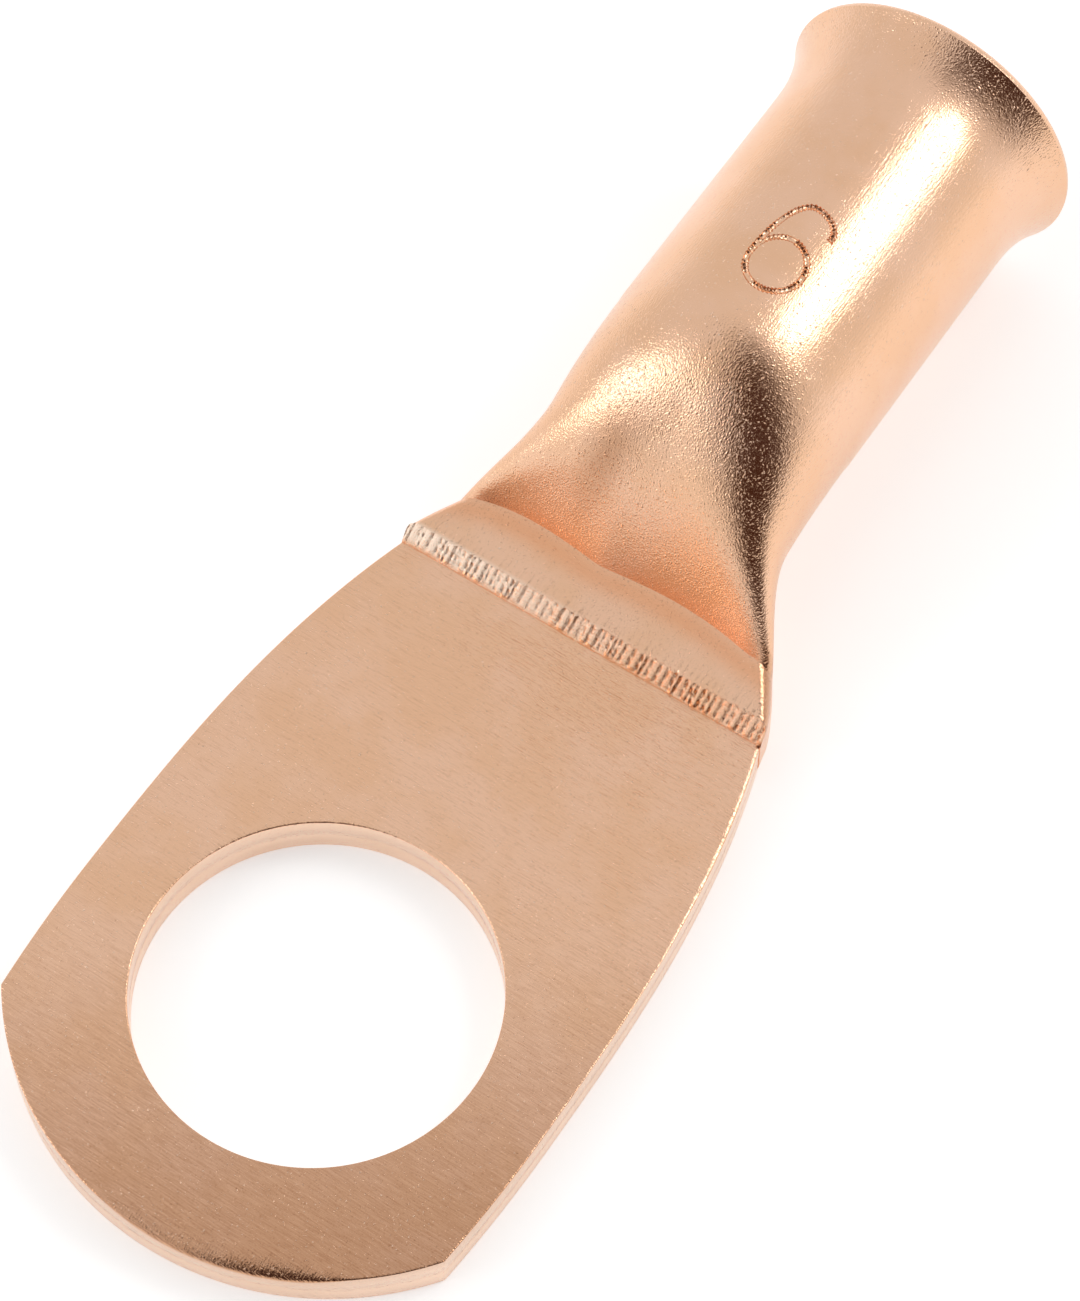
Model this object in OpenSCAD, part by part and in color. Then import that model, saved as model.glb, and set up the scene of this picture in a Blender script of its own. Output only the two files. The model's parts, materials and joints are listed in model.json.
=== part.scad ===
// Seamless copper cable lug: one length of tube, pressed flat at one end into a
// palm for a stud, left round at the other end for the cable, and belled at the mouth.
// Frame: origin on the stud hole's axis, on the palm's underside. +X runs to the mouth,
// +Z is up through the palm. Millimetres.

/* [Palm] */
// Diameter of the stud hole
stud_hole_d = 10.4; // [8:0.1:11]
// Full width of the palm beside the stud hole
palm_w = 15.2; // [14.4:0.1:18]
// Thickness of the coined palm
palm_t = 1.4; // [0.8:0.05:2]
// Distance from the stud hole's axis to the tip
tip_len = 8.3; // [7.4:0.1:11]
// Radius of the sheared tip
tip_r = 9.2; // [8.6:0.1:14]
// How far each side draws in from the stud hole to the tip
tip_draw = 0.75; // [0:0.05:1]
// Distance from the stud hole's axis to the step at the neck
palm_len = 13.15; // [11:0.05:20]
// Full width of the palm at the neck
neck_w = 12.3; // [10.5:0.1:14]
// How late the sides draw in towards the neck (2 is a plain arc)
side_power = 2.8; // [2:0.1:4]

/* [Flattened neck] */
// Thickness of the flattened tube at the step's edge
step_t = 2.05; // [2.05:0.05:2.6]
// Thickness of the flattened tube on the land at the foot of the ramp
land_t = 2.35; // [2.3:0.05:3.2]
// How far the step leans back between the palm and the land
step_lean = 0.45; // [0:0.05:0.6]
// Length of the land from the foot of the step to the ramp
land_len = 2; // [1.8:0.05:3]
// How far the foot of the ramp bows forward at its ends
land_bow = 1; // [0:0.05:1]
// Length of the ramp that rises from the land to the round barrel
ramp_len = 6; // [4:0.1:9]
// How steeply the ramp starts (1 is an even slope)
ramp_power = 3.5; // [1.5:0.1:6]
// How soon the pressed corners turn round along the ramp
corner_power = 4; // [1.5:0.1:8]
// Depth of the dish that the die leaves in the ramp
dish_d = 1.25; // [0:0.05:1.5]
// Length over which the flanks draw in from the neck to the round barrel
flank_len = 4.75; // [3.5:0.05:6]
// Corner radius along the land at the step
land_edge_r = 1; // [0.2:0.05:1]
// Corner radius along the land at the foot of the ramp
land_corner_r = 1; // [0.4:0.05:1]

/* [Barrel] */
// Outer diameter of the barrel
barrel_od = 8.15; // [7.6:0.05:9]
// Wall thickness of the tube
wall = 1.1; // [0.8:0.05:1.3]
// Distance from the stud hole's axis to the mouth
mouth_dist = 32.4; // [29:0.1:60]

/* [Bell mouth] */
// Outer diameter over the bell mouth
bell_od = 9.4; // [9.2:0.1:11]
// Length of the belled stretch
bell_len = 2.9; // [2:0.1:4]
// How late the bell opens towards the mouth (2 is a plain curve)
bell_power = 2.4; // [1.5:0.1:3.5]
// Wall thickness left at the lip
lip_t = 0.9; // [0.5:0.05:1.1]
// Rounding of the lip's outer edge
lip_r = 0.3; // [0.1:0.05:0.4]

/* [Hidden] */
copper = "#c98e6b";

barrel_r = barrel_od / 2;
bore_r = barrel_r - wall;
bell_r = bell_od / 2;
axis_z = bell_r;                   // the bell's lowest point lies level with the palm's underside
neck_hw = neck_w / 2;
palm_hw = palm_w / 2;
land_end = palm_len + land_len;
ramp_end = land_end + ramp_len;
bell_start = mouth_dist - bell_len;
seat = 0.02;                       // how far a buried surface stays inside the one that covers it
joint_lap = 0.6;                   // how far neighbouring stretches run into each other
through = 1;                       // how far a cut runs past the face it opens
underside_r = 0.2;                 // corner radius of the flattened tube's underside at the neck
slit_h = 0.35;                     // height at which the pressed bore is taken as closed
low_lead = 1.7;                    // how far the underside's corners turn round ahead of the flanks
dish_spread = 1.55;                // half width of the ramp's dish, in half widths of the section
side_steps = 36;                   // straight pieces in each side of the palm
bell_steps = 12;                   // straight pieces in the bell's curve
corner_steps = 12;                 // points round each corner of a section
bow_power = 6;                     // how sharply the foot of the ramp bows (higher is sharper)
top_steps = 8;                     // straight pieces across the top of a section
ring_pitch = 0.3;                  // spacing of the sections along the neck

function clamp01(v) = max(0, min(1, v));
function mix(a, b, s) = a + (b - a) * s;
function ease(v) = (1 - cos(180 * clamp01(v))) / 2;

// ---- section of the flattened tube at a distance x from the stud hole ----
function draw_in(x) = ease((x - palm_len) / flank_len);
function ramp_share(x) = clamp01((x - land_end) / ramp_len);
function half_width(x) = mix(neck_hw, barrel_r, draw_in(x));
function floor_z(x) = mix(0, axis_z - barrel_r, draw_in(x));
function rise(x, power) = 1 - pow(1 - ramp_share(x), power);
function land_share(x) = clamp01((x - palm_len - step_lean) / (land_len - step_lean));
function roof_z(x) = x < land_end
    ? mix(step_t, land_t, land_share(x))
    : mix(land_t, axis_z + barrel_r, rise(x, ramp_power));
function low_r(x) = mix(underside_r, barrel_r, clamp01(low_lead * draw_in(x)));
function land_r(x) = mix(land_edge_r, land_corner_r, clamp01((x - palm_len) / land_len));
function high_r(x) = x < land_end ? land_r(x) : mix(land_corner_r, barrel_r, rise(x, corner_power));

// Drop of a point at y in the ramp's dish, deepest a third of the way up
function dish(x, y) =
    let (u = ramp_share(x), across = y / (dish_spread * half_width(x)))
    6.75 * dish_d * u * pow(1 - u, 2) * pow(1 - pow(across, 2), 2);

// How far the foot of the ramp bows forward at a point at y
function bow(x, y) =
    let (ends = 1 - sqrt(1 - pow(min(1, abs(y) / neck_hw), bow_power)))
    land_bow * ends * land_share(x) * pow(1 - clamp01(2 * ramp_share(x)), 2);

// Points of one section, anticlockwise seen from the mouth: [half width, floor, roof, low r, high r]
function section(hw, lo, hi, rl, rh) =
    let (r_low = min(rl, (hi - lo) / 2, hw), r_high = min(rh, hi - lo - r_low, hw),
         corners = [[hw - r_high, hi - r_high, r_high], [r_high - hw, hi - r_high, r_high],
                    [r_low - hw, lo + r_low, r_low], [hw - r_low, lo + r_low, r_low]],
         top_y = hw - r_high + r_high * sin(45 / corner_steps))
    [for (c = [0:3]) each concat(
        [for (i = [0:corner_steps - 1])
            let (turn = 90 * (c + (i + 0.5) / corner_steps))
            [corners[c][0] + corners[c][2] * cos(turn), corners[c][1] + corners[c][2] * sin(turn)]],
        c > 0 ? [] : [for (k = [1:top_steps - 1]) [mix(top_y, -top_y, k / top_steps), hi]])];

function outer_section(x, inset = 0) =
    let (lo = floor_z(x) + inset, hi = roof_z(x) - inset,
         rl = max(low_r(x) - inset, slit_h / 8), rh = max(high_r(x) - inset, slit_h / 8))
    [for (p = section(half_width(x) - inset, lo, hi, rl, rh))
        let (lift = (p[1] - lo) / (hi - lo))
        [p[0], p[1] - dish(x, p[0]) * lift, bow(x, p[0]) * pow(lift, 2)]];

// Closed solid through sections of [y, z, bow], one at each place in xs; the first may lean back
module loft(xs, sections, lean = 0) {
    n = len(sections[0]);
    last = len(xs) - 1;
    points = [for (k = [0:last], p = sections[k])
        [xs[k] - p[2] + (k > 0 ? 0 : lean * (p[1] - palm_t) / (step_t - palm_t)), p[0], p[1]]];
    skin = [for (k = [0:last - 1], i = [0:n - 1])
        let (a = k * n + i, b = k * n + (i + 1) % n)
        each [[a, a + n, b], [b, a + n, b + n]]];
    near_cap = [for (i = [1:n - 2]) [0, i, i + 1]];
    far_cap = [for (i = [1:n - 2]) [last * n, last * n + i + 1, last * n + i]];
    polyhedron(points, concat(skin, near_cap, far_cap));
}

// Places from one x to another, evenly spaced at about ring_pitch
function places(from, to) =
    let (count = ceil((to - from) / ring_pitch)) [for (k = [0:count]) mix(from, to, k / count)];

// ---- sub-parts ----
function side_y(x) = x < 0
    ? palm_hw - tip_draw * pow(x / tip_len, 2)
    : palm_hw - (palm_hw - neck_hw + seat) * pow(x / palm_len, side_power);

// Palm: coined plate with sides drawn in to the neck and a round sheared tip
module palm() {
    neck_y = neck_hw - seat;
    side = [for (k = [0:side_steps - 1])
        let (x = mix(-tip_len, palm_len, k / side_steps)) [x, side_y(x)]];
    tongue = [[palm_len, neck_y], [palm_len + joint_lap, neck_y - joint_lap]];
    upper = concat(side, tongue);
    lower = [for (k = [len(upper) - 1:-1:0]) [upper[k][0], -upper[k][1]]];
    difference() {
        linear_extrude(palm_t) polygon(concat(lower, upper));
        tip_shear();
    }
}

// Everything beyond the round tip, as one cutter
module tip_shear() {
    centre_x = tip_r - tip_len;
    difference() {
        translate([centre_x - 2 * tip_r, -palm_w, -through])
            cube([2 * tip_r, 2 * palm_w, palm_t + 2 * through]);
        translate([centre_x, 0, -2 * through])
            cylinder(r = tip_r, h = palm_t + 4 * through, $fn = 96);
    }
}

// Neck: the tube's outer skin from the step, over the land and the ramp, to the round
module neck() {
    xs = concat(places(palm_len + step_lean + ring_pitch / 3, land_end),
                places(land_end + ring_pitch / 3, ramp_end + joint_lap));
    step = [for (p = outer_section(palm_len)) [p[0], max(p[1], seat), p[2]]];
    loft(concat([palm_len], xs), concat([step], [for (x = xs) outer_section(x, seat)]), step_lean);
}

// Half profile of the bell, as [distance along the barrel, radius], flat side first
function bell_curve(r_from, r_to, from, to) =
    [for (k = [0:bell_steps]) let (s = k / bell_steps)
        [mix(from, to, s), mix(r_from, r_to, pow(s, bell_power))]];
function lip_round() =
    [for (k = [0:4]) [mouth_dist - lip_r + lip_r * sin(22.5 * k), bell_r - lip_r + lip_r * cos(22.5 * k)]];

module along_barrel() {
    translate([0, 0, axis_z]) rotate([0, 90, 0]) children();
}

// Barrel: round tube stock with its belled end, still solid
module barrel() {
    bell_end = mouth_dist - lip_r;
    profile = concat([[ramp_end, 0], [ramp_end, barrel_r]],
                     bell_curve(barrel_r, bell_r, bell_start, bell_end),
                     lip_round(), [[mouth_dist, 0]]);
    along_barrel() rotate_extrude($fn = 96) polygon([for (p = profile) [p[1], p[0]]]);
}

// Bore: the straight socket for the conductor and its bell
module bore() {
    start = ramp_end + wall / 2;
    mouth_r = bell_r - lip_t;
    bell = concat([[bell_start, 0]], bell_curve(bore_r, mouth_r, bell_start, mouth_dist),
                  [[mouth_dist + through, mouth_r], [mouth_dist + through, 0]]);
    along_barrel() {
        translate([0, 0, start]) cylinder(r = bore_r, h = mouth_dist - start, $fn = 96);
        rotate_extrude($fn = 96) polygon([for (p = bell) [p[1], p[0]]]);
    }
}

// Pressed end of the bore: it flattens under the ramp and closes at the land
module pinched_bore() {
    shift = wall / 2;
    xs = [for (x = places(land_end, ramp_end + joint_lap))
        if (roof_z(x) - floor_z(x) - 2 * (wall + seat) > slit_h) x];
    loft([for (x = xs) x + shift], [for (x = xs) outer_section(x, wall + seat)]);
}

module stud_hole() {
    translate([0, 0, -through]) cylinder(d = stud_hole_d, h = palm_t + 2 * through, $fn = 96);
}

module lug() {
    color(copper) difference() {
        union() {
            palm();
            neck();
            barrel();
        }
        stud_hole();
        bore();
        pinched_bore();
    }
}

lug();
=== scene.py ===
"""Seamless copper cable lug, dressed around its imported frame.

The lug is one length of copper tube: pressed flat at one end into a palm with a stud hole,
left round at the other end for the conductor, and belled at the mouth. The meshes are built
in the lug's own millimetres, with the origin on the stud hole's axis at the palm's underside,
+X towards the mouth and +Z up, and are scaled to metres as they become objects.
"""

import json
import logging
import math
import random
from bisect import bisect
from dataclasses import dataclass, field
from enum import Enum
from typing import Sequence

import bmesh
import bpy
from mathutils import Matrix, Vector, noise


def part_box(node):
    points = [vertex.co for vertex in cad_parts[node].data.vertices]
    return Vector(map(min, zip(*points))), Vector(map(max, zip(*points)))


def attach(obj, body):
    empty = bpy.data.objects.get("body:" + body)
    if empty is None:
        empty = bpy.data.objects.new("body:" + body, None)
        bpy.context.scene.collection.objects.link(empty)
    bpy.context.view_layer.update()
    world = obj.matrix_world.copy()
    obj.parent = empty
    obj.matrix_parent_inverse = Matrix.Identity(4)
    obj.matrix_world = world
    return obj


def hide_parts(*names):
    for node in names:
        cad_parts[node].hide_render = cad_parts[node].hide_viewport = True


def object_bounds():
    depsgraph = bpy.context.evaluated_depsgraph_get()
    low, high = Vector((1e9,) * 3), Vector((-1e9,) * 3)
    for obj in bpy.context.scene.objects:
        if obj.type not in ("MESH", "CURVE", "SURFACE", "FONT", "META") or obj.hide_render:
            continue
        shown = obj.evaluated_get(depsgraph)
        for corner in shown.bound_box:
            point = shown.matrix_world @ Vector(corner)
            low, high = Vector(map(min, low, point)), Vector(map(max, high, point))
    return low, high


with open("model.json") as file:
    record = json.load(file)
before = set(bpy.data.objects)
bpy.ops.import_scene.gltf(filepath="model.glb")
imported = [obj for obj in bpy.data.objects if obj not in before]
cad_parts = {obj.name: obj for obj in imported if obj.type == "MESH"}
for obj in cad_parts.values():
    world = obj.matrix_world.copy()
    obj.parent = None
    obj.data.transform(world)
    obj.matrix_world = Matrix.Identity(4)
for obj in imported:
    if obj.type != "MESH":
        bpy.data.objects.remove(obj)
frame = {"record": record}
CAD_BOX = [list(corner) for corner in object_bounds()]

MM = 0.001
WELD = 1e-4  # millimetres within which two points are made one
SOFT_STEPS = 3  # facets round a small softened edge
DISH_PEAK = 27 / 4  # brings the highest value of share * (1 - share) ** 2 to 1
NOISE_MEAN = 0.5
log = logging.getLogger("cable_lug")

Ring = list[Vector]
Span = tuple[float, float]
Colour = tuple[float, float, float, float]


class Joining(Enum):
    """How one closed mesh is combined with another."""

    ADD = "UNION"
    CUT = "DIFFERENCE"


class Leg(Enum):
    """The stretches of a section's left half, from the middle of its top to its underside."""

    TOP = "top"
    SHOULDER = "upper corner"
    SIDE = "side"
    KNEE = "lower corner"
    UNDERSIDE = "underside"


class SeenBy(Enum):
    """The rays that see the floor as a bright sweep."""

    EYE = "Is Camera Ray"
    POLISH = "Is Glossy Ray"
    GLASS = "Is Transmission Ray"


# ---------------------------------------------------------------- small maths


def mix(start: float, end: float, share: float) -> float:
    """Value at a share of the way from start to end."""
    return start + (end - start) * share


def clamp01(value: float) -> float:
    """Value held between 0 and 1."""
    return max(0.0, min(1.0, value))


def ease(share: float) -> float:
    """Smooth rise from 0 to 1 with level ends."""
    return (1 - math.cos(math.pi * clamp01(share))) / 2


def between(value: float, span: Span) -> float:
    """Smooth rise from 0 at a span's start to 1 at its end, which may lie below its start."""
    return ease((value - span[0]) / (span[1] - span[0]))


def hump(distance: float, reach: float) -> float:
    """Smooth hump of height 1 that has faded at about twice its reach."""
    return math.exp(-((distance / reach) ** 2))


def places(start: float, end: float, pitch: float) -> list[float]:
    """Evenly spaced places from start up to, but not at, end.

    Args:
        start: First place.
        end: Place where the next stretch begins.
        pitch: Largest spacing.

    Returns:
        The places in order.
    """
    count = max(1, math.ceil(abs(end - start) / pitch))
    return [mix(start, end, step / count) for step in range(count)]


def quarter_turns(steps: int) -> list[float]:
    """Angles from nothing to a quarter turn, both included, in equal steps."""
    return [math.pi / 2 * step / steps for step in range(steps + 1)]


# ---------------------------------------------------------------- mesh tools


def skin(rings: Sequence[Ring]) -> bmesh.types.BMesh:
    """Extrudes a loop of edges through a row of rings and welds what meets.

    Args:
        rings: Rings with the same number of points, each point above its like.

    Returns:
        A bmesh whose first and last rings close it, pinched flat or onto each other.
    """
    bm = bmesh.new()
    bmesh.ops.create_circle(bm, segments=len(rings[0]), radius=1)
    spot = bm.verts.layers.int.new("spot")
    for index, vert in enumerate(bm.verts):
        vert[spot] = index
        vert.co = rings[0][index]
    edges = bm.edges[:]
    for ring in rings[1:]:
        drawn = bmesh.ops.extrude_edge_only(bm, edges=edges)["geom"]
        edges = [part for part in drawn if isinstance(part, bmesh.types.BMEdge)]
        for vert in (part for part in drawn if isinstance(part, bmesh.types.BMVert)):
            vert.co = ring[vert[spot]]
    bmesh.ops.remove_doubles(bm, verts=bm.verts, dist=WELD)
    bmesh.ops.recalc_face_normals(bm, faces=bm.faces)
    return bm


def fold_flat(ring: Ring) -> None:
    """Folds a ring shut onto a level line across its middle.

    Args:
        ring: Ring whose upper half is moved to meet its lower half.
    """
    count, half = len(ring), len(ring) // 2
    reach = max(point.y for point in ring)
    middle = sum(ring, Vector()) / count
    for index in range(half + 1):
        y = reach * min(index, half - index) / (half / 2)
        ring[index][:] = middle.x, y, middle.z
        ring[-index][:] = middle.x, -y, middle.z


def as_object(bm: bmesh.types.BMesh, name: str) -> bpy.types.Object:
    """Makes an object of a bmesh and frees it.

    Args:
        bm: The finished bmesh.
        name: Name of the object and its mesh.

    Returns:
        The linked object, at the origin.
    """
    mesh = bpy.data.meshes.new(name)
    bm.to_mesh(mesh)
    bm.free()
    piece = bpy.data.objects.new(name, mesh)
    bpy.context.scene.collection.objects.link(piece)
    return piece


def combine(base: bpy.types.Object, tool: bpy.types.Object, joining: Joining) -> None:
    """Adds a closed mesh to another, or cuts it away, and removes the tool.

    Args:
        base: Object that takes the result.
        tool: Object that is added or cut away.
        joining: What to do with the tool.
    """
    step = base.modifiers.new(joining.name, "BOOLEAN")
    step.operation = joining.value
    step.solver = "MANIFOLD"
    step.object = tool
    shown = base.evaluated_get(bpy.context.evaluated_depsgraph_get())
    shape = bpy.data.meshes.new_from_object(shown)
    base.modifiers.clear()
    base.data = shape
    bpy.data.objects.remove(tool)


# ---------------------------------------------------------------- the drawn tube


@dataclass
class DieRidges:
    """Ridges that the die dragged down the step over the palm. Millimetres."""

    half_span: float
    foot_z: float
    depth: float = 0.07
    pitch: Span = (0.11, 0.30)
    slant: float = 0.16
    waver: float = 0.05
    waver_rate: float = 1.7
    rounding_power: int = 4
    level: float = 0.4
    swell: float = 0.75
    swell_swing: float = 0.9
    swell_step: float = 1.37
    swell_row: float = 7.3
    swell_rate: float = 0.9
    right_share: float = 1.5
    left_share: float = 0.9
    right_to_left: Span = (-5.0, 3.0)
    seed: int = 6

    def __post_init__(self) -> None:
        """Draws the grooves between the ridges, from one end of the step to the other."""
        draw = random.Random(self.seed)
        self.grooves = [-self.half_span]
        while self.grooves[-1] < self.half_span:
            self.grooves.append(self.grooves[-1] + draw.uniform(*self.pitch))

    def height(self, y: float, z: float) -> float:
        """How far the die dragged the metal forward at a place on the step.

        Args:
            y: Place across the step.
            z: Height of the place.

        Returns:
            The ridge's height, or a groove's depth as a negative height.
        """
        across = y + self.slant * (z - self.foot_z) + self.waver * math.sin(y * self.waver_rate)
        after = bisect(self.grooves, across)
        left, right = self.grooves[after - 1], self.grooves[after]
        rounding = 1 - ((2 * across - left - right) / (right - left)) ** self.rounding_power
        row = Vector((after * self.swell_step, self.swell_row, z * self.swell_rate))
        swell = self.swell + self.swell_swing * noise.noise(row)
        depth = self.depth * mix(self.right_share, self.left_share, between(y, self.right_to_left))
        return depth * (swell * rounding - self.level)


@dataclass
class RoundedSection:
    """Section of the flattened tube: a box with two pairs of round corners. Millimetres."""

    half_w: float
    low: float
    high: float
    low_r: float
    high_r: float
    under_weight: float

    def place(self, leg: Leg, gone: float) -> tuple[float, float]:
        """A place on the section's left half.

        Args:
            leg: The stretch that holds the place.
            gone: Distance from that stretch's start.

        Returns:
            The place, across and up.
        """
        if leg is Leg.TOP:
            return gone, self.high
        if leg is Leg.SHOULDER:
            turn = gone / self.high_r
            return (self.half_w - self.high_r + self.high_r * math.sin(turn),
                    self.high - self.high_r + self.high_r * math.cos(turn))
        if leg is Leg.SIDE:
            return self.half_w, self.high - self.high_r - gone
        if leg is Leg.KNEE:
            turn = gone / self.low_r
            return (self.half_w - self.low_r + self.low_r * math.cos(turn),
                    self.low + self.low_r - self.low_r * math.sin(turn))
        return self.half_w - self.low_r - gone, self.low

    def left_half(self, count: int) -> list[tuple[float, float]]:
        """Places down the left half, wider apart on the lower corner and the underside.

        Args:
            count: Number of steps between the places.

        Returns:
            The places, from the middle of the top to the middle of the underside.
        """
        stretches = (
            (Leg.TOP, self.half_w - self.high_r, 1.0),
            (Leg.SHOULDER, math.pi / 2 * self.high_r, 1.0),
            (Leg.SIDE, self.high - self.high_r - self.low - self.low_r, 1.0),
            (Leg.KNEE, math.pi / 2 * self.low_r, self.under_weight),
            (Leg.UNDERSIDE, self.half_w - self.low_r, self.under_weight),
        )
        total = sum(length * weight for _, length, weight in stretches)
        spots = []
        for step in range(count + 1):
            gone = total * step / count
            for leg, length, weight in stretches:
                if leg is Leg.UNDERSIDE or gone <= length * weight:
                    break
                gone -= length * weight
            spots.append(self.place(leg, gone / weight))
        spots[-1] = (0.0, self.low)
        return spots


@dataclass
class PressedTube:
    """Neck, ramp, round barrel, belled mouth and blind bore, as one skin. Millimetres."""

    bore_r: float
    axis_z: float
    palm_t: float
    mouth_x: float
    neck_hw: float = 6.15
    barrel_r: float = 4.075
    palm_len: float = 13.15
    step_t: float = 2.05
    step_lean: float = 0.45
    land_t: float = 2.35
    land_len: float = 2.0
    land_edge_r: float = 0.3
    land_corner_r: float = 0.6
    land_bow: float = 1.4
    bow_power: float = 6.0
    bow_fade: float = 0.5
    lobe_depth: float = 0.22
    lobe_width: float = 5.0
    lobe_cusp: float = 0.6
    cusp_soft: float = 0.02
    ridge_overrun: float = 1.0
    ridge_end: float = 0.35
    ridge_fade: float = 0.3
    ridge_lift: int = 4
    ridge_start: Span = (0.02, 0.17)
    ramp_len: float = 6.0
    ramp_power: float = 3.5
    corner_power: float = 4.0
    dish_d: float = 1.25
    dish_spread: float = 1.55
    flank_len: float = 4.75
    low_lead: float = 1.7
    underside_r: float = 0.2
    bell_len: float = 2.9
    bell_power: float = 2.4
    lip_t: float = 0.9
    lip_r: float = 0.3
    lip_steps: int = 7
    lip_inner_r: float = 0.08
    bore_lip: float = 0.1
    bore_round: float = 1.3
    slit_h: float = 0.35
    slit_softness: float = 8.0
    slit_lead: float = 0.6
    slit_close: float = 0.25
    seat: float = 0.02
    fold_z: float = 1.0
    round_count: int = 440
    under_weight: float = 0.4
    step_rows: int = 26
    edge_reach: float = 0.5
    edge_pitch: float = 0.06
    land_pitch: float = 0.11
    ramp_pitch: float = 0.12
    barrel_lead: float = 0.15
    barrel_pitch: float = 0.5
    bell_pitch: float = 0.13
    bore_pitch: float = 0.3
    bore_gap: float = 1.0
    bore_long_pitch: float = 2.0

    def __post_init__(self) -> None:
        """Works out the places along the tube and draws the die's ridges."""
        self.bell_r = self.axis_z
        self.land_start = self.palm_len + self.step_lean
        self.land_end = self.palm_len + self.land_len
        self.ramp_end = self.land_end + self.ramp_len
        self.bell_start = self.mouth_x - self.bell_len
        self.wall = self.barrel_r - self.bore_r
        self.lip_bore_r = self.bell_r - self.lip_t
        self.slit_r = self.slit_h / self.slit_softness
        self.ridges = DieRidges(self.neck_hw + self.ridge_overrun, self.palm_t)

    # ---- the section at a distance x from the stud hole

    def draw_in(self, x: float) -> float:
        """Share of the way from the flat neck to the round barrel, for the flanks."""
        return ease((x - self.palm_len) / self.flank_len)

    def half_width(self, x: float) -> float:
        """Half width of the tube at x."""
        return mix(self.neck_hw, self.barrel_r, self.draw_in(x))

    def floor_z(self, x: float) -> float:
        """Height of the tube's underside at x."""
        return mix(0.0, self.axis_z - self.barrel_r, self.draw_in(x))

    def land_share(self, x: float) -> float:
        """Share of the land before x."""
        return clamp01((x - self.palm_len - self.step_lean) / (self.land_len - self.step_lean))

    def ramp_share(self, x: float) -> float:
        """Share of the ramp before x."""
        return clamp01((x - self.land_end) / self.ramp_len)

    def rise(self, x: float, power: float) -> float:
        """Share of the rise over the ramp at x, steeper at first for a higher power."""
        return 1 - (1 - self.ramp_share(x)) ** power

    def roof_z(self, x: float) -> float:
        """Height of the tube's top, before the die dishes it.

        Args:
            x: Distance from the stud hole.

        Returns:
            The height at x.
        """
        if x < self.land_end:
            return mix(self.step_t, self.land_t, self.land_share(x))
        return mix(self.land_t, self.axis_z + self.barrel_r, self.rise(x, self.ramp_power))

    def bow(self, x: float, y: float) -> float:
        """How far the foot of the ramp curves forward: most at its ends, with two lobes between.

        Args:
            x: Distance of the section from the stud hole.
            y: Place across the section.

        Returns:
            The shift towards the palm.
        """
        ends = 1 - math.sqrt(1 - min(1.0, abs(y) / self.neck_hw) ** self.bow_power)
        after = clamp01(self.ramp_share(x) / self.bow_fade)
        wave = math.sin(math.pi * (y - self.lobe_cusp) / self.lobe_width)
        lobes = self.lobe_depth * math.sqrt(wave ** 2 + self.cusp_soft)
        return (self.land_bow * ends - lobes * (1 - ends)) * self.land_share(x) * (1 - after) ** 2

    def corner_radii(self, x: float) -> tuple[float, float]:
        """Radii of the section's corners.

        Args:
            x: Distance from the stud hole.

        Returns:
            The lower and the upper radius at x.
        """
        low = mix(self.underside_r, self.barrel_r, clamp01(self.low_lead * self.draw_in(x)))
        if x < self.land_end:
            along = clamp01((x - self.palm_len) / self.land_len)
            return low, mix(self.land_edge_r, self.land_corner_r, along)
        return low, mix(self.land_corner_r, self.barrel_r, self.rise(x, self.corner_power))

    def dish(self, x: float, y: float) -> float:
        """Drop of the top in the ramp's dish, deepest a third of the way up.

        Args:
            x: Distance from the stud hole.
            y: Place across the ramp.

        Returns:
            The drop.
        """
        share = self.ramp_share(x)
        across = y / (self.dish_spread * self.half_width(x))
        return DISH_PEAK * self.dish_d * share * (1 - share) ** 2 * (1 - across ** 2) ** 2

    def section(self, x: float, inset: float = 0.0, at: float | None = None) -> Ring:
        """Points round the tube's section from the middle of its top.

        Args:
            x: Distance whose section is wanted.
            inset: How far the points stay inside the outer skin.
            at: Distance where the ring is placed, or x.

        Returns:
            The ring, left side first.
        """
        half_w = self.half_width(x) - inset
        low = self.floor_z(x) + inset
        high = self.roof_z(x) - inset
        low_r, high_r = (max(radius - inset, self.slit_r) for radius in self.corner_radii(x))
        low_r = min(low_r, (high - low) / 2, half_w)
        high_r = min(high_r, high - low - low_r, half_w)
        box = RoundedSection(half_w, low, high, low_r, high_r, self.under_weight)
        dished = []
        for y, z in box.left_half(self.round_count // 2):
            dished.append((y, z - self.dish(x, y) * (z - low) / (high - low)))
        place = x if at is None else at
        left = [Vector((place, y, z)) for y, z in dished]
        right = [Vector((place, -y, z)) for y, z in dished[-2:0:-1]]
        return left + right

    def outer_section(self, x: float) -> Ring:
        """The outer skin's section, with the bow and the ends of the ridges on its upper part.

        Args:
            x: Distance from the stud hole.

        Returns:
            The ring, left side first.
        """
        ring = self.section(x, self.seat if x > self.palm_len else 0.0)
        low, high = self.floor_z(x), self.roof_z(x)
        fade = hump(x - self.palm_len - self.step_lean, self.ridge_fade)
        for point in ring:
            lift = clamp01((point.z - low) / (high - low))
            ridge = self.ridge_end * fade * self.ridges.height(point.y, point.z)
            point.z += ridge * lift ** self.ridge_lift
            point.x -= self.bow(x, point.y) * lift ** 2
        return ring

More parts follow.
